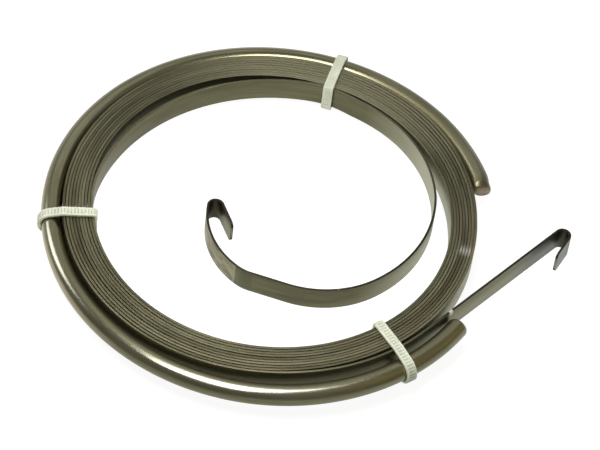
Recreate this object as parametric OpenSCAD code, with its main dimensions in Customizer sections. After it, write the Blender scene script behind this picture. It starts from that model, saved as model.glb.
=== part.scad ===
// Flat spiral spring of a recoil starter, wound up and held for storage:
// a hooked steel strip inside a split ring of steel rod, bound by three ladder ties.
// Millimetres, +Z up. The origin is on the coil's axis, on the surface the ties' heads stand on.

/* [Strip] */
// Width of the spring strip, which stands on edge
strip_w = 6.4; // [4:0.1:12]
// Thickness of the spring strip
strip_t = 0.6; // [0.4:0.05:0.9]
// Radius of the rounded corners at the strip's two ends
tip_r = 1.2; // [0.4:0.1:1.8]

/* [Coil] */
// Middle radius of the innermost turn where the coil begins
coil_r = 43.2; // [40:0.1:47]
// Space between one turn and the next
turn_gap = 0.1; // [0.06:0.01:0.2]
// Whole turns in the coil
full_turns = 9; // [4:1:12]
// Direction in which the innermost turn begins
coil_start = 183; // [175:1:195]
// Direction in which the outermost turn leaves the coil
coil_leave = 314; // [308:1:318]

/* [Inner loop] */
// Bend radius where the loop parts from the coil
part_r = 28; // [22:1:34]
// Angle of that bend
part_deg = 15; // [10:1:20]
// Angle of the bend that brings the loop back to the coil at the rear tie
meet_deg = 12; // [9:1:18]
// Angle over which the loop then lies along the coil
along_deg = 15; // [8:1:22]
// Radius of the loop's long sweep away from the coil
sweep_r = 33.2; // [32:0.1:34.5]
// Angle of the long sweep
sweep_deg = 110; // [102:1:116]
// Radius of the loop's near side
near_r = 26; // [24:0.5:28]
// Angle of the near side
near_deg = 53; // [48:1:58]
// Straight stretch before the heel
flat_l = 6; // [3:0.5:9]
// Radius of the heel, the tighter bend at the foot of the inner hook's leg
heel_r = 6; // [4:0.5:8]
// Angle of the heel
heel_deg = 12; // [8:1:16]
// Radius of the leg that rises to the inner hook
leg_r = 20.5; // [18.5:0.5:22.5]
// Angle of the leg
leg_deg = 69; // [62:1:75]

/* [Hooks] */
// Inside bend radius of the inner hook
inner_hook_r = 1.5; // [1.2:0.1:2.5]
// Angle of the inner hook
inner_hook_deg = 152; // [130:1:170]
// Length of the inner hook's lip
inner_lip_l = 7; // [4:0.5:9]
// Bend radius where the outermost turn straightens into the tail
lead_r = 66; // [60:1:68]
// Angle of that bend
lead_deg = 6; // [4:1:9]
// Straight length of the tail
tail_l = 45.5; // [36:0.5:52]
// Inside bend radius of the outer hook
outer_hook_r = 1.4; // [1.2:0.1:2.5]
// Angle of the outer hook
outer_hook_deg = 165; // [140:1:175]
// Length of the outer hook's lip
outer_lip_l = 6.5; // [4:0.5:9]

/* [Ring] */
// Diameter of the ring's rod
rod_d = 5; // [3:0.1:6.4]
// Clearance between the coil and the ring, on the side away from the tail
ring_gap = 0.16; // [0.08:0.02:0.6]
// Clearance between the tail and the ring's end beside it
tail_gap = 0.08; // [0.06:0.02:0.6]
// Direction of the ring's cut end above the tail
ring_start = 19; // [10:1:35]
// Direction of the ring's cut end below the tail
ring_end = 331; // [322:1:332]

/* [Ties] */
// Width of a tie's strap
strap_w = 2.5; // [2:0.1:4]
// Thickness of a tie's strap
strap_t = 1; // [0.8:0.05:1.4]
// Clearance between a strap and what it binds
strap_gap = 0.12; // [0.1:0.01:0.3]
// Spacing of the ladder's teeth
tooth_pitch = 0.75; // [0.7:0.05:1.2]
// Width of a tooth's recess along the strap
tooth_l = 0.42; // [0.3:0.02:0.5]
// Depth of a tooth's recess
tooth_h = 0.3; // [0.15:0.05:0.4]
// Smooth rail on each side of the teeth
rail_w = 0.6; // [0.4:0.05:0.7]
// Length of a tie's head along its strap
head_l = 4.6; // [4:0.1:6]
// Width of a tie's head
head_w = 4.4; // [4.2:0.1:6]
// Height of a tie's head
head_h = 3.2; // [2.8:0.1:4]
// Bevel along the head's lower edges
head_bevel = 0.5; // [0.2:0.1:0.8]
// Room round the strap's cut end in the head
slot_gap = 0.25; // [0.15:0.05:0.4]
// Depth of the open slot in the head
slot_h = 1.2; // [0.6:0.1:2]
// Direction of the tie on the left
left_tie = 191; // [187:1:197]
// Direction of the tie at the rear, which also binds the loop
rear_tie = 76; // [70:1:84]
// Direction of the tie at the front
front_tie = 311; // [304:1:313]

/* [Hidden] */
$fa = 3;
$fs = 0.3;
overcut = 1;
bend_steps = 8;

turn_pitch = strip_t + turn_gap;
half_turns = 2 * full_turns;
last_sweep = coil_leave - coil_start;
strip_z = head_h + strap_gap;
strip_top = strip_z + strip_w;
ring_z = strip_z + strip_w / 2;

// Middle radius of each half turn, whose centre lies a quarter of the pitch off the axis
function half_r(half) = coil_r + turn_pitch / 4 * (1 + 2 * half);

// Middle radius of the coil at a direction, counted in whole turns from the innermost
function coil_at(direction, turn) =
    let (past = direction - coil_start + 360 * turn)
    let (half = floor(past / 180))
    half_r(half) - turn_pitch / 4 * cos(past - 180 * half);
coil_out = coil_at(coil_leave, full_turns) + strip_t / 2;

// The ring lies close to the coil away from the tail, and just clears the tail at its end
tail_to = coil_leave + lead_deg;
tail_r = lead_r + (half_r(half_turns) - lead_r) * cos(lead_deg)
    - turn_pitch / 4 * cos(tail_to - coil_start) + strip_t / 2;
ring_far = coil_at(ring_end - 180, full_turns) + strip_t / 2 + ring_gap;
ring_near = tail_r / cos(ring_end - tail_to) + tail_gap;
ring_shift = (ring_near - ring_far) / 2;
ring_r = (ring_near + ring_far) / 2 + rod_d / 2;

// The loop lies just inside the innermost turn at the rear tie
loop_hold = to_micron(coil_at(rear_tie + 360, 0) - turn_pitch);

// Directions as unit vectors, and what one unit of bend radius moves a clockwise bend
function toward(a) = [cos(a), sin(a)];
function bend_step(a, sweep) = toward(a) - toward(a - sweep);
function cross2(p, q) = p[0] * q[1] - p[1] * q[0];
function to_micron(x) = round(x * 1000) / 1000;

// The nearest angle whose sine and cosine are whole millionths
function off_millionth(x) = abs(x * 1e6 - round(x * 1e6));
function even_turn(a) = [
    for (k = [0 : 1 : 4000])
        for (side = [-1, 1])
            let (b = round(a * 1e4 + side * k) / 1e4)
            if (max(off_millionth(cos(b)), off_millionth(sin(b))) < 0.02) b
][0];

// The far side of the loop: two bend radii that carry it from the coil to the rear tie
part_turn = even_turn(part_deg);
meet_turn = even_turn(meet_deg);
crown_turn = even_turn(coil_start - rear_tie - part_turn - meet_turn);
crown_way = bend_step(coil_start - part_turn, crown_turn);
meet_way = bend_step(coil_start - part_turn - crown_turn, meet_turn);
loop_way = coil_r * toward(coil_start) - loop_hold * toward(rear_tie)
    - part_r * bend_step(coil_start, part_turn);
crown_r = to_micron(cross2(loop_way, meet_way) / cross2(crown_way, meet_way));
meet_r = to_micron(cross2(crown_way, loop_way) / cross2(crown_way, meet_way));

// Moves to the micron and then by the rest, which keeps the rest's last digits
module step(x, y) {
    near = [to_micron(x), to_micron(y), 0];
    translate(near)
        translate([x, y, 0] - near)
            children();
}

// Draws a bend of the strip along +X, to the left for a positive angle, and goes on from its end
module bend(radius, sweep) {
    side = sign(sweep);
    turn = even_turn(abs(sweep));
    mirror([0, side < 0 ? 1 : 0, 0])
        translate([0, radius, 0])
            rotate_extrude(angle = turn, start = -90)
                translate([radius - strip_t / 2, -strip_w / 2])
                    square([strip_t, strip_w]);
    step(radius * sin(turn), side * radius * (1 - cos(turn)))
        rotate(side * turn)
            children();
}

// Draws a bend of more than a quarter turn in two equal parts
module long_bend(radius, sweep) {
    bend(radius, sweep / 2)
        bend(radius, sweep / 2)
            children();
}

// Draws a straight stretch of the strip along +X, and goes on from its end
module straight(length) {
    translate([0, -strip_t / 2, -strip_w / 2])
        cube([length, strip_t, strip_w]);
    translate([length, 0, 0])
        children();
}

// The strip's last stretch, with its two free corners rounded
module lip(length) {
    translate([0, strip_t / 2, 0])
        rotate([90, 0, 0])
            linear_extrude(strip_t) {
                translate([0, -strip_w / 2])
                    square([length - tip_r, strip_w]);
                translate([0, tip_r - strip_w / 2])
                    square([length, strip_w - 2 * tip_r]);
                for (side = [-1, 1])
                    translate([length - tip_r, side * (strip_w / 2 - tip_r)])
                        circle(tip_r);
            }
}

// The coil, half a turn at a time, each half turn wider than the one before
module coil(half = 0) {
    if (half < half_turns)
        bend(half_r(half), 180) coil(half + 1) children();
    else
        long_bend(half_r(half), last_sweep) children();
}

// The hook at the loop's free end
module inner_hook() {
    long_bend(inner_hook_r + strip_t / 2, -inner_hook_deg)
        lip(inner_lip_l);
}

// The hook at the tail's free end
module outer_hook() {
    long_bend(outer_hook_r + strip_t / 2, -outer_hook_deg)
        lip(outer_lip_l);
}

// The strip starts where the innermost turn begins, and runs both ways from there
module spring_strip() {
    color("#75705c")
        rotate(coil_start)
            translate([coil_r, 0, ring_z]) {
                rotate(90)
                    coil()
                        bend(lead_r, lead_deg)
                            straight(tail_l)
                                outer_hook();
                rotate(-90)
                    bend(part_r, -part_turn)
                        bend(crown_r, -crown_turn)
                            bend(meet_r, -meet_turn)
                                bend(loop_hold, -along_deg)
                                    long_bend(sweep_r, -sweep_deg)
                                        bend(near_r, -near_deg)
                                            straight(flat_l)
                                                bend(heel_r, -heel_deg)
                                                    bend(leg_r, -leg_deg)
                                                        inner_hook();
            }
}

// Split ring of rod, set off the axis so that it lies against the coil opposite the tail
module retaining_ring() {
    color("#857d66")
        translate(ring_shift * toward(ring_end))
            translate([0, 0, ring_z])
                rotate_extrude(angle = ring_end - ring_start, start = ring_start)
                    translate([ring_r, 0])
                        circle(d = rod_d);
}

// Distance of the ring's rod from the coil's axis in a direction
function rod_at(direction) = ring_shift * cos(direction - ring_end)
    + sqrt(pow(ring_r, 2) - pow(ring_shift * sin(direction - ring_end), 2));

// What a strap goes round, seen along the strap's width: [radius from the axis, height, round]
function bundle(inside, rod_r) = [
    [rod_r, ring_z, rod_d / 2 + strap_gap],
    [coil_out, strip_top, strap_gap],
    [inside, strip_top, strap_gap],
    [inside, strip_z, strap_gap],
    [coil_out, strip_z, strap_gap]
];

// Direction from one round to the next, the strap's outward direction there and its straight length
function round_at(rounds, i) = rounds[(i + len(rounds)) % len(rounds)];
function run_of(rounds, i) = round_at(rounds, i + 1) - round_at(rounds, i);
function run_l(rounds, i) = norm([run_of(rounds, i)[0], run_of(rounds, i)[1]]);
function run_lean(rounds, i) = asin(-run_of(rounds, i)[2] / run_l(rounds, i));
function outward(rounds, i) = atan2(run_of(rounds, i)[1], run_of(rounds, i)[0]) - 90 + run_lean(rounds, i);
function free_l(rounds, i) = run_l(rounds, i) * cos(run_lean(rounds, i));
function turn_deg(rounds, i) = (outward(rounds, i) - outward(rounds, i - 1) + 720) % 360;

// Closed outline round the bundle, a given height above the strap's inner face
function outline(rounds, above) = [
    for (i = [0 : len(rounds) - 1])
        for (k = [0 : bend_steps])
            let (here = round_at(rounds, i))
            let (away = outward(rounds, i - 1) + turn_deg(rounds, i) * k / bend_steps)
            [here[0], here[1]] + (here[2] + above) * toward(away)
];

// One ladder recess, cut into a face at x = 0
module recess() {
    translate([-tooth_h, -tooth_l / 2, rail_w])
        cube([tooth_h + overcut, tooth_l, strap_w - 2 * rail_w]);
}

// Strap of one tie, lying flat with its width along +Z
module strap(rounds) {
    difference() {
        linear_extrude(strap_w)
            difference() {
                polygon(outline(rounds, strap_t));
                polygon(outline(rounds, 0));
            }
        for (i = [0 : len(rounds) - 1]) {
            here = round_at(rounds, i);
            face = here[2] + strap_t;
            along = floor(free_l(rounds, i) / tooth_pitch);
            around = floor(turn_deg(rounds, i) * PI / 180 * face / tooth_pitch);
            translate([here[0], here[1], 0]) {
                rotate(outward(rounds, i))
                    for (k = [0 : 1 : along - 1])
                        translate([face, free_l(rounds, i) * (k + 0.5) / along, 0])
                            recess();
                for (k = [0 : 1 : around - 1])
                    rotate(outward(rounds, i - 1) + turn_deg(rounds, i) * (k + 0.5) / around)
                        translate([face, 0, 0])
                            recess();
            }
        }
    }
}

// Head of one tie, under the coil, with the strap's cut end in its slot
module head(inside) {
    slot_w = strap_w + 2 * slot_gap;
    slot_l = strap_t + 2 * slot_gap;
    translate([(inside + coil_out) / 2, 0, 0])
        difference() {
            translate([0, 0, strap_w / 2 - head_w / 2])
                linear_extrude(head_w)
                    polygon([
                        [-head_l / 2, head_bevel],
                        [-head_l / 2 + head_bevel, 0],
                        [head_l / 2 - head_bevel, 0],
                        [head_l / 2, head_bevel],
                        [head_l / 2, head_h],
                        [-head_l / 2, head_h]
                    ]);
            difference() {
                translate([-slot_l / 2, -overcut, strap_w / 2 - slot_w / 2])
                    cube([slot_l, slot_h + overcut, slot_w]);
                translate([-slot_l / 2, -2 * overcut, 0])
                    cube([strap_t, slot_h + 3 * overcut, strap_w]);
            }
        }
}

// A whole tie standing across the coil in its direction
module tie(direction, inside) {
    color("#e6e9da")
        rotate(direction)
            translate([0, strap_w / 2, 0])
                rotate([90, 0, 0]) {
                    strap(bundle(inside, rod_at(direction)));
                    head(inside);
                }
}

module tie_left() {
    tie(left_tie, coil_at(left_tie, 0) - strip_t / 2);
}

module tie_rear() {
    tie(rear_tie, loop_hold - strip_t / 2);
}

module tie_front() {
    tie(front_tie, coil_at(front_tie, 0) - strip_t / 2);
}

spring_strip();
retaining_ring();
tie_left();
tie_rear();
tie_front();
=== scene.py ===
import math

import bpy
from mathutils import Matrix, Vector, noise


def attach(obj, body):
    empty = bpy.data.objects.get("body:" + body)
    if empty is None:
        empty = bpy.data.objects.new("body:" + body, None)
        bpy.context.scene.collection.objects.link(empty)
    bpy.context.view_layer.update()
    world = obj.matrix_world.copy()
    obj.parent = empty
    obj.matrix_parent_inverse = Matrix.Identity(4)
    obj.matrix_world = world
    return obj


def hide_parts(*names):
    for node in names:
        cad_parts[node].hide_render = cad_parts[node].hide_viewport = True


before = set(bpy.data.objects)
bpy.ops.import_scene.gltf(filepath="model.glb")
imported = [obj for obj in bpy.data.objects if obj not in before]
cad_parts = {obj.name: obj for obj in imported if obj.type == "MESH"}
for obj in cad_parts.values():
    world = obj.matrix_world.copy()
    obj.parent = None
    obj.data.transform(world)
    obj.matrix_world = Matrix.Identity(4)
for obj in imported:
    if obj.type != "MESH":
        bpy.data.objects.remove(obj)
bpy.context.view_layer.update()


# Spring strip
# One strip of hardened and tempered spring steel, rolled thin, slit to width and wound on edge into a coil.
# Its inner end is bent into a loop and a hook for the starter drum, its outer end into a tail and a hook
# for the starter housing.
strip_w = 6.4
strip_t = 0.6
strip_edge = 0.09
strip_z = 3.32
tip_r = 1.2
coil_r = 43.2
turn_pitch = 0.7
full_turns = 9
coil_start = 183
coil_leave = 314
rear_tie = 76
strip_mid = strip_z + strip_w / 2
olive = (0.190, 0.180, 0.105, 1)
dark_olive = (0.110, 0.104, 0.062, 1)
pale_olive = (0.300, 0.288, 0.180, 1)
rust_brown = (0.165, 0.118, 0.070, 1)
rubbed = (0.360, 0.340, 0.225, 1)
oiled_green = (0.120, 0.128, 0.078, 1)
grey_green = (0.360, 0.360, 0.265, 1)
reflected_grey = (0.520, 0.520, 0.400, 1)
dark_slit = (0.078, 0.075, 0.044, 1)
pale_slit = (0.205, 0.199, 0.122, 1)
glint_pink = (0.700, 0.620, 0.560, 1)
glint_white = (0.850, 0.840, 0.760, 1)
heat_blue = (0.170, 0.200, 0.215, 1)
pale_blue = (0.330, 0.370, 0.370, 1)
temper_brown = (0.030, 0.024, 0.018, 1)
mm = 0.001


def toward(degrees):
    """The level unit vector that points in a direction."""
    return Vector((math.cos(math.radians(degrees)), math.sin(math.radians(degrees))))


def half_turn_r(half):
    """The radius of a half turn, counted from the coil's beginning."""
    return coil_r + turn_pitch / 4 * (1 + 2 * half)


def coil_at(direction, turn):
    """How far from the middle the strip's mid line runs in a direction, on a turn."""
    past = direction - coil_start + 360 * turn
    half = math.floor(past / 180)
    return half_turn_r(half) - turn_pitch / 4 * math.cos(math.radians(past - 180 * half))


straight_step = 1.5
wide_step, tight_step, tight_r = 1.25, 6, 10


def run_on(place, heading, stretches):
    """Places, headings and lengths along bends (radius, angle) and straights (length, 0), end to end."""
    way = [(place.copy(), heading, 0.0)]
    length = 0.0
    for size, sweep in stretches:
        if sweep == 0:
            steps = max(2, int(size / straight_step))
            for k in range(1, steps + 1):
                way.append((place + toward(heading) * size * k / steps, heading, length + size * k / steps))
            place = place + toward(heading) * size
            length += size
            continue
        side = 1 if sweep > 0 else -1
        middle = place + toward(heading + 90 * side) * size
        steps = max(3, int(abs(sweep) / (wide_step if size > tight_r else tight_step)))
        arc = math.radians(abs(sweep)) * size
        for k in range(1, steps + 1):
            here = heading + sweep * k / steps
            way.append((middle + toward(here - 90 * side) * size, here, length + arc * k / steps))
        heading += sweep
        place = way[-1][0]
        length += arc
    return way


# The far side of the loop is fitted between the coil's beginning and the rear tie
loop_hold = coil_at(rear_tie + 360, 0) - turn_pitch
part_r, part_deg, meet_deg = 28, 15, 12
crown_deg = coil_start - rear_tie - part_deg - meet_deg
crown_way = toward(coil_start - part_deg) - toward(coil_start - part_deg - crown_deg)
meet_way = toward(rear_tie + meet_deg) - toward(rear_tie)
loop_way = (toward(coil_start) * coil_r - toward(rear_tie) * loop_hold
            - (toward(coil_start) - toward(coil_start - part_deg)) * part_r)
both = crown_way.x * meet_way.y - crown_way.y * meet_way.x
crown_r = (loop_way.x * meet_way.y - loop_way.y * meet_way.x) / both
meet_r = (crown_way.x * loop_way.y - crown_way.y * loop_way.x) / both

loop_far_side = [(part_r, -part_deg), (crown_r, -crown_deg), (meet_r, -meet_deg), (loop_hold, -21.2)]
loop_near_side = [(33.2, -106.6), (24.2, -51.3), (9.3, 0)]
heel, leg = (8, -21.2), (21.1, -58.1)
inner_hook = [(1.8, -152), (6.9, 0)]
half_turns = [(half_turn_r(half), 180) for half in range(2 * full_turns)]
last_turn = (half_turn_r(2 * full_turns), coil_leave - coil_start)
tail = [(66, 6), (45.5, 0)]
outer_hook = [(1.7, -165), (6.5, 0)]
beginning = toward(coil_start) * coil_r
inward = run_on(beginning, coil_start - 90, loop_far_side + loop_near_side + [heel, leg] + inner_hook)
outward = run_on(beginning, coil_start + 90, half_turns + [last_turn] + tail + outer_hook)
inner_l = inward[-1][2]
way = [(place, heading + 180, inner_l - length) for place, heading, length in reversed(inward)]
way += [(place, heading, inner_l + length) for place, heading, length in outward[1:]]
strip_l = way[-1][2]


def tip_stations(way):
    """Adds close stations at both ends, where the corners are rounded."""
    cuts = [tip_r * (1 - math.cos(math.radians(a))) for a in (0, 12, 25, 38, 52, 66, 78, 90)]
    first, last = way[0], way[-1]
    head = [(first[0] + toward(first[1]) * c, first[1], first[2] + c) for c in cuts]
    tail = [(last[0] - toward(last[1]) * c, last[1], last[2] - c) for c in reversed(cuts)]
    body = [p for p in way if tip_r + 0.1 < p[2] < strip_l - tip_r - 0.1]
    return head + body + tail


def strip_section(half_h, thick):
    """The strip's cross-section as (across, up, edge), corners eased, with edge 1 on the slit edges."""
    points = []
    for turn in range(4):
        across = (thick / 2 - strip_edge) * (1 if turn in (0, 3) else -1)
        up = max(half_h - strip_edge, 0.02) * (1 if turn in (0, 1) else -1)
        for k in range(4):
            a = math.radians(90 * turn + 30 * k)
            edge = (0, 0.5, 1, 1)[k if turn % 2 == 0 else 3 - k]
            points.append((across + strip_edge * math.cos(a), up + strip_edge * math.sin(a), edge))
    return points


def mesh_piece(name, vertices, faces):
    """A smooth-shaded object made of these points and faces."""
    mesh = bpy.data.meshes.new(name)
    mesh.from_pydata(vertices, [], faces)
    mesh.update()
    piece = bpy.data.objects.new(name, mesh)
    bpy.context.scene.collection.objects.link(piece)
    for polygon in mesh.polygons:
        polygon.use_smooth = True
    return piece


def tube_faces(stations, around, closed=False):
    """Quads between neighbouring rings of points, with a cap at each end unless the sweep is closed."""
    faces = []
    for s in range(stations if closed else stations - 1):
        low, high = s * around, (s + 1) % stations * around
        for k in range(around):
            n = (k + 1) % around
            faces.append((low + k, low + n, high + n, high + k))
    if not closed:
        faces.append(tuple(reversed(range(around))))
        faces.append(tuple(range((stations - 1) * around, stations * around)))
    return faces


def paint(piece, name, values):
    """Stores one number for each of the piece's vertices, for its material to read."""
    layer = piece.data.attributes.new(name, "FLOAT", "POINT")
    layer.data.foreach_set("value", values)


# The turns have sprung out against the ring at the far side and the left, and lie slack at the near side
ring_end = 331
ring_in_r = 50.521
ring_off = 0.634
ring_play = 0.04
held_on_ring = (5, 50, 235, 285)
slack_most, slack_at = 1.15, 288
slack_before, slack_after = 75, 58
outermost_slack = 0.6
freed_from, freed_full = 200, 250
parted_most, parted_from, parted_full = 0.5, 74.5, 67
coil_near, coil_touch = 40.0, 42.5
coil_from = inner_l
coil_to = inner_l + sum(math.pi * half_turn_r(half) for half in range(2 * full_turns))
coil_end = coil_to + math.radians(coil_leave - coil_start) * half_turn_r(2 * full_turns)
loop_taut, loop_slack, loop_to = coil_from - 80, coil_from - 30, coil_from - 70
tail_ease = 35


def ramp(value, low, high):
    """Rises from 0 at low to 1 at high, or falls where high is the smaller."""
    return min(1, max(0, (value - low) / (high - low)))


def between(value, rise, full, fade, gone):
    """Rises from 0 to 1, stays there and falls to 0 again."""
    return ramp(value, rise, full) * ramp(value, gone, fade)


def press(place, length):
    """How far a turn has sprung out towards the ring, which stops the outermost one."""
    direction = math.degrees(math.atan2(place.y, place.x)) % 360
    ring_at = ring_in_r + ring_off * math.cos(math.radians(direction - ring_end))
    room = ring_at - coil_at(direction, full_turns) - strip_t / 2 - ring_play
    held = between(direction, *held_on_ring)
    return max(0, room) * held * ramp(length, coil_from, coil_to) ** 2


def settled(direction):
    """How far the innermost turn lies in from a true round on the near side."""
    off = (direction - (slack_at - 180)) % 360 - 180
    return slack_most * math.exp(-(off / (slack_before if off < 0 else slack_after)) ** 2)


def slack(place, length):
    """How far a turn lies in from its true round: less for each turn further out, nothing for the tail."""
    direction = math.degrees(math.atan2(place.y, place.x)) % 360
    freed = ramp(direction, freed_from, freed_full) if direction > slack_at - 180 else 1
    outermost = outermost_slack * freed * ramp(length, coil_end, coil_end - tail_ease)
    turns = 1 + (outermost - 1) * ramp(length, coil_from, coil_to)
    return settled(direction) * turns * ramp(length, loop_taut, loop_slack)


def parted(place, length):
    """How far the loop stands off the coil beside the rear tie, before it sweeps away."""
    if length > loop_to:
        return 0
    direction = math.degrees(math.atan2(place.y, place.x))
    off_coil = parted_most * ramp(direction, parted_from, parted_full)
    return off_coil * ramp(place.length, coil_near, coil_touch)


turn_bulk, far_bulk = 0.03, 0.06
far_y, far_y_full = 20, 38
far_x, far_x_full = -32, -8
lift_most, lift_wave = 0.11, 90
sway_most, sway_wave = 0.075, 70
ease_l = 40
# The hook bends are heat tinted, and painted darker still on the inside of each hook as painted shade in
# its crease.
inner_heat, inner_heat_w = 9.8, 3.2
outer_heat, outer_heat_w = 8.8, 3.0
outside_of_hook_share = 0.6
# Painted glint: a few bright dashes on the top slit edges of the outer turns at the right.
glint_at, glint_w = -7, 1.3
glint_turns = (45.6, 46.2, 48.6, 49.2)
vertices, along, across_face, edges, heat_and_shade, far_edge_sheen, glint = [], [], [], [], [], [], []
for place, heading, length in tip_stations(way):
    from_tip = min(length, strip_l - length)
    half_h = strip_w / 2
    if from_tip < tip_r:
        half_h += math.sqrt(max(tip_r ** 2 - (tip_r - from_tip) ** 2, 0)) - tip_r
    inside = min(1, max(0, (length - coil_from) / ease_l)) * min(1, max(0, (coil_to - length) / ease_l))
    lift = lift_most * inside * noise.noise(Vector((length / lift_wave, 3.1, 0)))
    sway = sway_most * inside * noise.noise(Vector((length / sway_wave, 8.7, 0)))
    inner_hot = math.exp(-((length - inner_heat) / inner_heat_w) ** 2)
    outer_hot = math.exp(-((strip_l - length - outer_heat) / outer_heat_w) ** 2)
    left = toward(heading + 90)
    inwards = sway - press(place, length) + slack(place, length) + parted(place, length)
    behind = ramp(place.y, far_y, far_y_full) * ramp(place.x, far_x, far_x_full) * inside
    bearing = math.degrees(math.atan2(place.y, place.x))
    glinting = math.exp(-((bearing - glint_at) / glint_w) ** 2) * between(place.length, *glint_turns)
    for across, up, edge in strip_section(half_h, strip_t + turn_bulk * inside + far_bulk * behind):
        flat = place + left * (across + inwards)
        vertices.append((flat.x * mm, flat.y * mm, (strip_mid + up + lift) * mm))
        along.append(length)
        across_face.append(up)
        edges.append(edge)
        # Full strength on each hook's inside and less outside: heat tint plus painted shade.
        inner_tint_and_shade = inner_hot * (1 if across > 0 else outside_of_hook_share)
        heat_and_shade.append(inner_tint_and_shade + outer_hot * (1 if across < 0 else outside_of_hook_share))
        # Painted sheen: the slit edges at the back of the coil are marked to be painted paler.
        far_edge_sheen.append(behind)
        glint.append(glinting)
around = len(strip_section(strip_w / 2, strip_t))
strip = mesh_piece("spring_strip_steel", vertices, tube_faces(len(vertices) // around, around))
paint(strip, "along", along)
paint(strip, "up", across_face)
paint(strip, "edge", edges)
paint(strip, "heat_and_shade", heat_and_shade)
paint(strip, "far_edge_sheen", far_edge_sheen)
paint(strip, "glint", glint)


class Nodes:
    """The nodes of a material or of the studio's world, added and joined by name."""

    def __init__(self, owner):
        owner.use_nodes = True
        self.owner = owner
        self.tree = owner.node_tree
        self.shader = self.tree.nodes.get("Principled BSDF")

    def add(self, kind, inputs=(), **settings):
        node = self.tree.nodes.new("ShaderNode" + kind)
        for key, value in settings.items():
            setattr(node, key, value)
        for key, value in dict(inputs).items():
            self.put(node, key, value)
        return node

    def put(self, node, key, value):
        if isinstance(value, bpy.types.NodeSocket):
            self.tree.links.new(value, node.inputs[key])
        else:
            node.inputs[key].default_value = value

    def read(self, name):
        return self.add("Attribute", attribute_name=name).outputs["Fac"]

    def math(self, operation, a, b):
        return self.add("Math", {0: a, 1: b}, operation=operation).outputs[0]

    def times(self, a, b):
        return self.math("MULTIPLY", a, b)

    def plus(self, a, b):
        return self.math("ADD", a, b)

    def vector(self, x, y, z=0.0):
        return self.add("CombineXYZ", {0: x, 1: y, 2: z}).outputs[0]

    def noise(self, vector, scale, detail=4.0, roughness=0.55):
        return self.add("TexNoise", {"Vector": vector, "Scale": scale, "Detail": detail,
                                     "Roughness": roughness}).outputs["Fac"]

    def span(self, value, low, high, to_low=0.0, to_high=1.0):
        node = self.add("MapRange", {"Value": value, "From Min": low, "From Max": high,
                                     "To Min": to_low, "To Max": to_high})
        return node.outputs["Result"]

    def mix(self, factor, a, b, blend="MIX"):
        node = self.add("Mix", data_type="RGBA", blend_type=blend)
        for key, value in ((0, factor), (6, a), (7, b)):
            self.put(node, key, value)
        return node.outputs[2]

    def band(self, value, low, high, fade):
        rise = self.span(value, low - fade, low)
        return self.times(rise, self.span(value, high, high + fade, 1.0, 0.0))

    def bump(self, height, strength, distance):
        return self.add("Bump", {"Height": height, "Strength": strength, "Distance": distance}).outputs[0]


steel = Nodes(bpy.data.materials.new("tempered strip steel"))
length = steel.read("along")
up = steel.read("up")
edge = steel.read("edge")
rolled = steel.noise(steel.vector(steel.times(length, 0.04), steel.times(up, 2.2)), 1.6)
blotch = steel.noise(steel.vector(steel.times(length, 0.02), steel.times(up, 0.15)), 1.5)
grain = steel.noise(steel.vector(length, steel.times(up, 1.6)), 1.6, 1.0)
face = steel.mix(steel.span(blotch, 0.35, 0.7), olive, dark_olive)
face = steel.mix(steel.span(rolled, 0.45, 0.75, 0.0, 0.40), face, pale_olive)

# The leg of the inner hook is rubbed pale down to a seam, with an oily patch beyond it
leg_from, leg_to = 15, 31.5
seam_from, seam_to = 31.8, 32.1
oil_from, oil_to = 32.5, 36.6
smear = steel.noise(steel.vector(steel.times(length, 0.22), steel.times(up, 0.5), 4.0), 1.4)
rubbing = steel.times(steel.band(length, leg_from, leg_to, 3), steel.span(smear, 0.38, 0.62, 0.15, 1.0))
face = steel.mix(rubbing, face, rubbed)
face = steel.mix(steel.times(steel.band(length, oil_from, oil_to, 0.4), 0.65), face, oiled_green)
face = steel.mix(steel.times(steel.band(length, seam_from, seam_to, 0.3), 0.7), face, rubbed)

# The tail is greyer than the coil and blued towards its hook, and a few stretches of the strip are painted
# paler, a painted reflection of the bright floor
tail_from, tail_full = strip_l - 62, strip_l - 50
blued_from, blued_to = strip_l - 21, strip_l - 13
reflecting_stretches = ((84, 112), (inner_l + 95, inner_l + 175), (coil_to - 190, coil_to - 130))
greying = steel.times(steel.span(length, tail_from, tail_full), steel.span(up, 1.4, -0.8, 0.25, 0.85))
face = steel.mix(greying, face, grey_green)
face = steel.mix(steel.times(steel.band(length, blued_from, blued_to, 7), 0.6), face, heat_blue)
# Painted reflection: these stretches are painted a paler grey.
for reflect_from, reflect_to in reflecting_stretches:
    face = steel.mix(steel.times(steel.band(length, reflect_from, reflect_to, 22), 0.85), face, reflected_grey)

# The slit edges are darker than the faces, rusty in places, browned at the loop and the tail
browned_from, browned_full = strip_l - 60, strip_l - 50
# Painted highlight: a small pale pink spot high on the tail near its root.
root_glint_from, root_glint_to = strip_l - 49.5, strip_l - 48.7
slit = steel.mix(steel.span(blotch, 0.35, 0.68), dark_slit, pale_slit)
# Painted sheen: the slit edges at the back of the coil are painted paler.
slit = steel.mix(steel.times(steel.read("far_edge_sheen"), 0.8), slit, pale_olive)
rust = steel.noise(steel.vector(steel.times(length, 0.013), 7.0), 1.7, 3.0)
slit = steel.mix(steel.span(rust, 0.42, 0.62, 0.0, 0.30), slit, rust_brown)
slit = steel.mix(steel.times(steel.span(length, browned_from, browned_full), 0.8), slit, temper_brown)
slit = steel.mix(steel.span(length, 90, 130, 0.85, 0.0), slit, temper_brown)
face = steel.mix(steel.times(steel.span(length, strip_l - 7, strip_l - 5), 0.8), face, pale_blue)
face = steel.mix(steel.span(length, 4, 6, 0.6, 0.0), face, grey_green)
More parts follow.
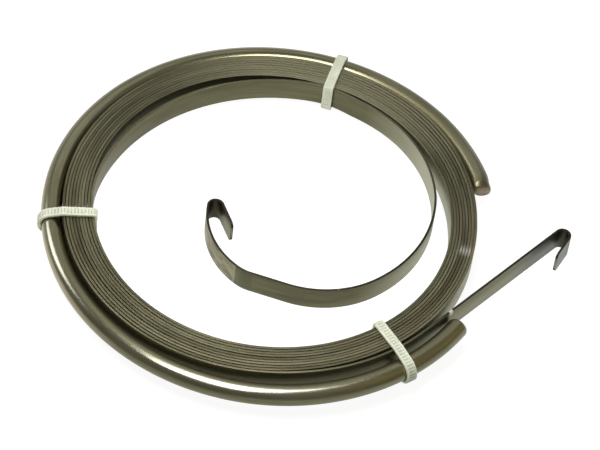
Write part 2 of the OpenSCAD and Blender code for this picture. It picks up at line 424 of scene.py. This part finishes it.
# Painted glint on the top slit edges of a few outer turns.
slit = steel.mix(steel.times(steel.read("glint"), steel.span(up, 3.17, 3.2, 0.1, 0.45)), slit, glint_white)
colour = steel.mix(edge, face, slit)
# Painted highlight near the tail's root.
root_glint = steel.times(steel.band(length, root_glint_from, root_glint_to, 0.3), steel.span(up, 1.6, 2.6))
colour = steel.mix(root_glint, colour, glint_pink)
fleck = steel.noise(steel.vector(steel.times(length, 0.8), steel.times(up, 1.5), 2.0), 1.9, 2.0)
colour = steel.mix(steel.span(fleck, 0.73, 0.78, 0.0, 0.6), colour, rubbed)
# Heat tint at the hook bends, with painted shade darkening each hook's inside more than its outside.
hook_tint_and_shade = steel.times(steel.read("heat_and_shade"), steel.span(blotch, 0.2, 0.6, 0.98, 0.8))
colour = steel.mix(hook_tint_and_shade, colour, temper_brown)
steel.put(steel.shader, "Base Color", colour)
steel.put(steel.shader, "Metallic", 1.0)
sheen = steel.plus(steel.span(rolled, 0.3, 0.7, 0.46, 0.36), steel.times(edge, 0.16))
steel.put(steel.shader, "Roughness", sheen)
relief = steel.plus(rolled, steel.times(grain, 0.1))
relief = steel.times(relief, steel.span(edge, 0.0, 1.0, 1.0, 0.1))
steel.put(steel.shader, "Normal", steel.bump(relief, 0.05, 0.00002))
strip.data.materials.append(steel.owner)
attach(strip, "root")
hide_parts("spring_strip")


# Retaining ring
# A split ring bent from drawn steel rod, with its ends sheared off on both sides of the tail and left raw.
# It keeps the wound strip from springing open until it is in the starter housing.
rod_r = 2.5
ring_start = 19
ring_r = ring_in_r + rod_r
ring_shift = toward(ring_end) * ring_off
bronze = (0.248, 0.234, 0.133, 1)
dark_bronze = (0.174, 0.163, 0.087, 1)
brass = (0.340, 0.290, 0.150, 1)
reflection_beige = (0.560, 0.480, 0.310, 1)
gold = (0.480, 0.370, 0.110, 1)
highlight_white = (0.400, 0.394, 0.342, 1)
shade_brown = (0.110, 0.098, 0.048, 1)
sheared = (0.300, 0.225, 0.140, 1)
torn = (0.085, 0.066, 0.040, 1)
around = 48
stations = 312
bevel = 0.6
tuck_from, tuck_most = 48, 0.55
pinch_most, burr_most = 0.3, 0.3
# Painted reflection: the rod's outer side is painted beige on a stretch at the left and one at the right.
reflected_rim = (20, 45, 205, 235)
# Painted highlights: whiter stripes where the lamp's highlight falls on the near side and the left light's
# on the left side.
highlight_near_side = (228, 262, 275, 305)
highlight_left_side = (184, 198, 206, 228)
gold_from, gold_full = 272, 300
# Painted shade: the rod is painted darker and made rougher along its inner upper side on the near half, and
# over the whole rod from the rear tie to its end, where it dulls the highlight.
dull_shade_from, dull_shade_full = 190, 230
far_dull_shade, far_dull_shade_from, far_dull_shade_full = 0.7, 76, 64
vertices, along, round_rod, cut_face, rim_reflection, streak, painted_highlight, dull_shade = [], [], [], [], [], [], [], []
rings = [(ring_start, rod_r - bevel, 1.0), (ring_start + 0.25, rod_r - 0.4, 0.2),
         (ring_start + 0.6, rod_r - 0.15, 0.0), (ring_start + 0.95, rod_r - 0.04, 0.0)]
rings += [(ring_start + (ring_end - ring_start) * s / stations, rod_r, 0.0) for s in range(1, stations)]
rings += [(ring_end - 0.9, rod_r - 0.02, 0.0), (ring_end - 0.5, rod_r - 0.22, 0.2),
          (ring_end - 0.2, rod_r - 0.6, 0.6), (ring_end, rod_r - 1.1, 1.0)]


def stripe(a, middle, wide):
    """1 along a line on the rod, and falling off on both sides of it."""
    return math.exp(-((a - middle) / wide) ** 2)


for direction, radius, raw in rings:
    tuck = tuck_most * ramp(direction, tuck_from, ring_start) ** 1.5
    pinched = pinch_most * ramp(direction, ring_start + 3.5, ring_start + 0.3)
    burred = burr_most * ramp(direction, ring_start + 1.4, ring_start + 0.2)
    shine = between(direction, *reflected_rim)
    near = between(direction, *highlight_near_side)
    left = between(direction, *highlight_left_side)
    gilt = ramp(direction, gold_from, gold_full)
    dulled = ramp(direction, dull_shade_from, dull_shade_full)
    dulled_far = far_dull_shade * ramp(direction, far_dull_shade_from, far_dull_shade_full)
    for k in range(around):
        a = 2 * math.pi * k / around
        pinch = pinched * max(0, math.cos(a - 0.9))
        burr = burred * max(0, math.cos(a + 0.5)) ** 3
        reach = radius * (1 - pinch + burr)
        flat = toward(direction) * (ring_r - tuck + reach * math.cos(a)) + ring_shift
        vertices.append((flat.x * mm, flat.y * mm, (strip_mid + reach * math.sin(a)) * mm))
        along.append(math.radians(direction) * ring_r)
        round_rod.append(a)
        cut_face.append(raw)
        rim_reflection.append(stripe(math.sin(a / 2), 0, 0.25) * shine)
        streak.append(stripe(a, 0.95, 0.26) * gilt)
        painted_highlight.append(stripe(a, 1.24, 0.34) * near + stripe(a, 1.02, 0.26) * left)
        dull_shade.append(stripe(a, 2.1, 0.45) * dulled + dulled_far)
faces = [tuple(reversed(f)) for f in tube_faces(len(rings), around)]
ring = mesh_piece("retaining_ring_rod", vertices, faces)
paint(ring, "along", along)
paint(ring, "round", round_rod)
paint(ring, "cut", cut_face)
paint(ring, "rim_reflection", rim_reflection)
paint(ring, "streak", streak)
paint(ring, "painted_highlight", painted_highlight)
paint(ring, "dull_shade", dull_shade)

rod = Nodes(bpy.data.materials.new("drawn rod steel"))
length = rod.read("along")
turn = rod.read("round")
over = rod.math("SINE", turn, 0.0)
aside = rod.math("COSINE", turn, 0.0)
drawn = rod.noise(rod.vector(rod.times(length, 0.02), over, aside), 9.0)
stain = rod.noise(rod.vector(rod.times(length, 0.03), over, aside), 1.6)
where = rod.add("TexCoord").outputs["Object"]
grain = rod.noise(where, 2500.0, 2.0)
colour = rod.mix(rod.span(stain, 0.3, 0.6), bronze, dark_bronze)
colour = rod.mix(rod.span(drawn, 0.52, 0.75, 0.0, 0.6), colour, brass)
# Painted reflection on the rod's outer side.
colour = rod.mix(rod.times(rod.read("rim_reflection"), rod.span(drawn, 0.3, 0.7, 0.5, 1.0)), colour, reflection_beige)
colour = rod.mix(rod.times(rod.read("streak"), rod.span(drawn, 0.35, 0.65, 0.4, 1.0)), colour, gold)
# Painted highlight: whiter where the lights' highlights fall.
colour = rod.mix(rod.times(rod.read("painted_highlight"), rod.span(drawn, 0.3, 0.6, 0.9, 0.5)), colour, highlight_white)
# Painted shade on the rod's inner upper side and past the rear tie.
colour = rod.mix(rod.times(rod.read("dull_shade"), 0.5), colour, shade_brown)
raw_face = rod.mix(rod.span(rod.noise(where, 620.0, 2.0), 0.42, 0.66), sheared, torn)
colour = rod.mix(rod.read("cut"), colour, raw_face)
rod.put(rod.shader, "Base Color", colour)
rod.put(rod.shader, "Metallic", 1.0)
smooth = rod.span(stain, 0.3, 0.7, 0.18, 0.27)
rod.put(rod.shader, "Roughness", rod.plus(smooth, rod.times(rod.read("dull_shade"), 0.3)))
rod.put(rod.shader, "Coat Weight", rod.span(stain, 0.3, 0.7, 0.95, 0.55))
rod.put(rod.shader, "Coat Roughness", 0.22)
rod.put(rod.shader, "Normal", rod.bump(rod.plus(drawn, rod.times(grain, 0.15)), 0.05, 0.00004))
ring.data.materials.append(rod.owner)
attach(ring, "root")
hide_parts("retaining_ring")


# Ladder ties
# Three narrow cable ties moulded in natural nylon, pulled tight round the strip and the ring.
# Each strap has a ladder of teeth between two smooth rails, and is locked and cut off in a head underneath.
strap_w = 2.5
strap_t = 0.85
strap_gap = 0.10
strap_edge = 0.16
tooth_pitch = 0.8
tooth_h = 0.09
tooth_slope = 0.07
rail_w = 0.45
head_l, head_w, head_h = 4.6, 4.4, 3.2
slot_gap, slot_h = 0.25, 1.2
head_edge = 0.15
rear_head_out = 1.5
nylon_white = (0.630, 0.645, 0.500, 1)
nylon_shade = (0.570, 0.590, 0.450, 1)
groove_shade_colour = (0.320, 0.340, 0.270, 1)
coil_out = coil_at(coil_leave, full_turns) + strip_t / 2
ties = {
    "tie_left": (191, coil_at(191, 0) - strip_t / 2 - settled(191), -4.5),
    "tie_rear": (rear_tie + 0.3, loop_hold - strip_t / 2, 1.5),
    "tie_front": (311, coil_at(311, 0) - strip_t / 2 - settled(311), -3.5),
}


def rod_at(direction):
    """How far from the middle the rod's mid line runs in a direction."""
    off = math.radians(direction - ring_end)
    shift = ring_shift.length
    return shift * math.cos(off) + math.sqrt(ring_r ** 2 - (shift * math.sin(off)) ** 2)


def strap_way(rounds):
    """The strap's inner face as (point, outward direction, outer length), from corner to corner."""
    count = len(rounds)
    leave = []
    for i in range(count):
        (x0, z0, r0), (x1, z1, r1) = rounds[i], rounds[(i + 1) % count]
        gap = math.hypot(x1 - x0, z1 - z0)
        ahead = math.degrees(math.atan2(z1 - z0, x1 - x0))
        leave.append(ahead - 90 + math.degrees(math.asin((r0 - r1) / gap)))
    way, length = [], 0.0
    for i in range(count):
        x, z, r = rounds[i]
        middle = Vector((x, z))
        turn = (leave[i] - leave[i - 1]) % 360
        steps = max(4, int(turn / 5))
        for k in range(steps + 1):
            out = leave[i - 1] + turn * k / steps
            gone = math.radians(turn * k / steps) * (r + strap_t)
            way.append((middle + toward(out) * r, out, length + gone))
        x, z, r = rounds[(i + 1) % count]
        length = way[-1][2]
        length += (Vector((x, z)) + toward(leave[i]) * r - way[-1][0]).length
    return way, length


def station(way, total, length):
    """The strap's place and outward direction at a length along its outer face."""
    length %= total
    for (p, a, s), (q, b, e) in zip(way, way[1:] + [(way[0][0], way[0][1] + 360, total)]):
        if s <= length <= e:
            share = (length - s) / max(e - s, 1e-9)
            return p.lerp(q, share), a + (b - a) * share if abs(b - a) < 180 else a
    return way[-1][0], way[-1][1]


def strap_section(depth):
    """The strap's cross-section as (across, out), with eased sides and a ladder between two rails."""
    side, e = strap_w / 2, strap_edge
    rail = side - rail_w
    half = [(side - e, 0), (side, e), (side, strap_t - e), (side - e * 0.4, strap_t - e * 0.3),
            (side - e, strap_t), (rail, strap_t), (rail - tooth_slope, strap_t - depth)]
    return half + [(-x, y) for x, y in reversed(half)]


def head_mesh(middle):
    """A block with eased edges that stands on the ground, open underneath round the strap's cut end."""
    half_l, half_w = head_l / 2, head_w / 2
    cut_l, cut_w = strap_t / 2, strap_w / 2
    slot_l, slot_w = cut_l + slot_gap, cut_w + slot_gap
    outlines = [(cut_l, cut_w, 0.1), (cut_l, cut_w, slot_h), (slot_l, slot_w, slot_h), (slot_l, slot_w, 0),
                (half_l - 0.5, half_w - 0.2, 0), (half_l, half_w - 0.1, 0.5), (half_l, half_w, 0.7),
                (half_l, half_w, head_h - head_edge), (half_l - head_edge, half_w - head_edge, head_h)]
    vertices = [(middle + x * side, y * end, z) for x, y, z in outlines
                for side, end in ((-1, -1), (1, -1), (1, 1), (-1, 1))]
    return vertices, tube_faces(len(outlines), 4)


nylon = Nodes(bpy.data.materials.new("natural nylon"))
where = nylon.add("TexCoord").outputs["Object"]
cloud = nylon.noise(where, 260.0, 3.0)
skin = nylon.noise(where, 3000.0, 2.0)
colour = nylon.mix(nylon.span(cloud, 0.35, 0.7), nylon_white, nylon_shade)
# Painted shade: the ladder's recesses are painted darker, by a varying amount.
groove_shade = nylon.times(nylon.read("groove"), nylon.span(cloud, 0.3, 0.7, 0.5, 0.85))
colour = nylon.mix(groove_shade, colour, groove_shade_colour)
nylon.put(nylon.shader, "Base Color", colour)
nylon.put(nylon.shader, "Roughness", nylon.span(skin, 0.3, 0.7, 0.42, 0.54))
nylon.put(nylon.shader, "Normal", nylon.bump(skin, 0.05, 0.00005))

for name, (direction, inside, skew) in ties.items():
    strip_top = strip_z + strip_w
    rounds = [(rod_at(direction), strip_mid, rod_r + strap_gap),
              (coil_out, strip_top, strap_gap), (inside, strip_top, strap_gap),
              (inside, strip_z, strap_gap), (coil_out, strip_z, strap_gap)]
    strap, total = strap_way(rounds)
    teeth = int(total / tooth_pitch)
    outlines, grooves = [], []
    for tooth in range(teeth):
        for share, depth in ((0.0, 0.0), (0.16, tooth_h), (0.44, tooth_h), (0.60, 0.0)):
            place, out = station(strap, total, (tooth + share) * total / teeth)
            lean = toward(out)
            section = strap_section(depth)
            outlines.append([])
            for across, high in section:
                outlines[-1].append((place.x + lean.x * high, across, place.y + lean.y * high))
                in_ladder = abs(across) < strap_w / 2 - rail_w and high > strap_t / 2
                grooves.append(depth / tooth_h if in_ladder else 0.0)
    vertices = [p for outline in outlines for p in outline]
    faces = tube_faces(len(outlines), len(outlines[0]), closed=True)
    more, head_faces = head_mesh((inside + coil_out) / 2 + (rear_head_out if name == "tie_rear" else 0))
    faces += [tuple(i + len(vertices) for i in f) for f in head_faces]
    vertices += more
    aim = Matrix.Rotation(math.radians(direction), 3, "Z")
    turned = Matrix.Rotation(math.radians(skew), 3, "Z")
    pivot = Vector(((inside + rod_at(direction) + rod_r) / 2, 0, 0))
    placed = [aim @ (turned @ (Vector(p) - pivot) + pivot) * mm for p in vertices]
    tie = mesh_piece(name + "_nylon", placed, faces)
    # The rear tie's recesses get less painted shade.
    groove_shading = 0.4 if name == "tie_rear" else 1.0
    paint(tie, "groove", [groove_shading * groove for groove in grooves] + [0.0] * len(more))
    tie.data.set_sharp_from_angle(angle=math.radians(65))
    tie.data.materials.append(nylon.owner)
    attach(tie, "root")
    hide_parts(name)


# Floor, light and camera
# A pale floor under soft studio light, seen as white with a faint shadow under the spring,
# and the camera where the photo was taken from.
floor_half, floor_z = 3, -0.0002
pale_floor = (0.88, 0.88, 0.83, 1)
shaded_front_floor = (0.50, 0.50, 0.475, 1)
near_y, pale_y = -0.085, -0.02
floor_glow, mirrored_share = 0.85, 0.65
white_glow, shadow_share = 1.30, 0.30
sky_glow, backdrop_glow = 0.26, 0.55
plain_white = (1, 1, 1, 1)
corners = [(floor_half * x, floor_half * y, floor_z) for x, y in ((-1, -1), (1, -1), (1, 1), (-1, 1))]
floor = mesh_piece("floor", corners, [(0, 1, 2, 3)])
paper = Nodes(bpy.data.materials.new("white paper"))
depth = paper.add("SeparateXYZ", {0: paper.add("TexCoord").outputs["Object"]}).outputs[1]
# Painted shade: the paper is painted darker towards the front, which the metal shows in its reflections.
tone = paper.mix(paper.span(depth, near_y, pale_y), shaded_front_floor, pale_floor)
paper.put(paper.shader, "Base Color", tone)
paper.put(paper.shader, "Roughness", 0.9)
rays = paper.add("LightPath").outputs
even = paper.add("Emission", {"Color": tone, "Strength": floor_glow})
white = paper.add("Emission", {"Color": plain_white, "Strength": white_glow})
backing = paper.add("MixShader", {0: shadow_share, 1: white.outputs[0], 2: paper.shader.outputs[0]})
mirrored = paper.add("MixShader", {0: paper.times(rays["Is Glossy Ray"], mirrored_share),
                                   1: paper.shader.outputs[0], 2: even.outputs[0]})
seen = paper.add("MixShader", {0: rays["Is Camera Ray"], 1: mirrored.outputs[0], 2: backing.outputs[0]})
paper.put(paper.tree.nodes["Material Output"], "Surface", seen.outputs[0])
floor.data.materials.append(paper.owner)

studio = Nodes(bpy.data.worlds.new("studio"))
way_out = studio.add("SeparateXYZ", {0: studio.add("TexCoord").outputs["Generated"]}).outputs
backdrop = studio.times(studio.span(way_out[1], 0.2, 0.8), studio.span(way_out[2], 0.5, 0.15))
glow = studio.plus(studio.times(backdrop, backdrop_glow), sky_glow)
seen = studio.math("MAXIMUM", glow, studio.add("LightPath").outputs["Is Camera Ray"])
sky = studio.tree.nodes["Background"]
studio.put(sky, "Color", plain_white)
studio.put(sky, "Strength", seen)
bpy.context.scene.world = studio.owner


def softbox(name, place, size, power):
    """A flat soft light that faces the middle of the part."""
    light = bpy.data.lights.new(name, "AREA")
    light.shape = "RECTANGLE"
    light.size, light.size_y = size
    light.energy = power
    lamp = bpy.data.objects.new(name, light)
    lamp.location = place
    lamp.rotation_euler = (-Vector(place)).to_track_quat("-Z", "Y").to_euler()
    bpy.context.scene.collection.objects.link(lamp)


softbox("lamp", (-0.022, -0.045, 0.172), (0.09, 0.13), 0.33)
softbox("back", (0.0, 0.70, 0.80), (1.2, 0.6), 1.1)
softbox("left", (-0.63, 0.26, 0.43), (0.28, 0.36), 1.30)

target = Vector((0.24, -0.14, strip_mid)) * mm
far, lift, roll = 0.742, math.radians(49.32), math.radians(7.08)
forward = Vector((0, math.cos(lift), -math.sin(lift)))
level = Vector((1, 0, 0))
upward = Vector((0, math.sin(lift), math.cos(lift)))
right = level * math.cos(roll) + upward * math.sin(roll)
above = upward * math.cos(roll) - level * math.sin(roll)
lens = bpy.data.cameras.new("camera")
lens.sensor_width = 36
lens.lens = 185.8
photo_w = 600
lens.shift_x = 28 / photo_w
lens.shift_y = -7.4 / photo_w
lens.clip_start = 0.01
camera = bpy.data.objects.new("camera", lens)
aim = Matrix((right, above, -forward)).transposed().to_4x4()
camera.matrix_world = Matrix.Translation(target - forward * far) @ aim
bpy.context.scene.collection.objects.link(camera)
bpy.context.scene.camera = camera
bpy.context.scene.view_settings.view_transform = "Standard"
